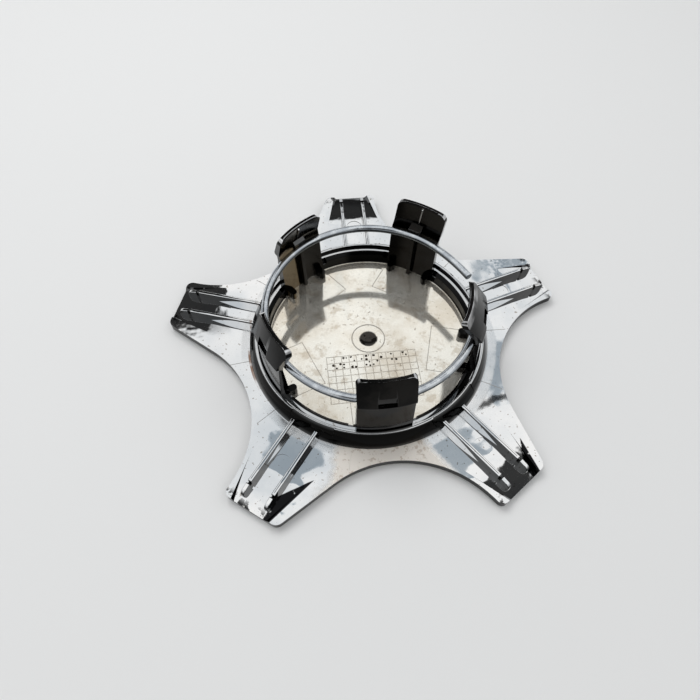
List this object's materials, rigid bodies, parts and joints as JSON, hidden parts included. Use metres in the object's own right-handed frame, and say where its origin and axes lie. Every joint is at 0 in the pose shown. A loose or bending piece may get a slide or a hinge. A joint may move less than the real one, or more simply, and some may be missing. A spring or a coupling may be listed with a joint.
{
  "type": "wheel centre cap",
  "caption": "Star-shaped chrome wheel centre cap lying on its face, with ribbed arms, a round collar, upright clip legs and a sprung wire ring.",
  "frame": {"origin": "on the axis of the cap, at the flat front face that the cap rests on", "axes": "+Z along the axis, out of the back, the way the clip legs stand; +Y through the middle of one arm of the star"},
  "size_m": [0.1326, 0.1265, 0.0331],
  "materials": {
    "chrome": "mirror-bright chrome plating on plastic, stained in the cup",
    "ring_steel": "drawn spring wire, dull grey"
  },
  "bodies": {
    "root": {"star_cap": "chrome", "retaining_ring": "ring_steel"}
  },
  "joints": []
}
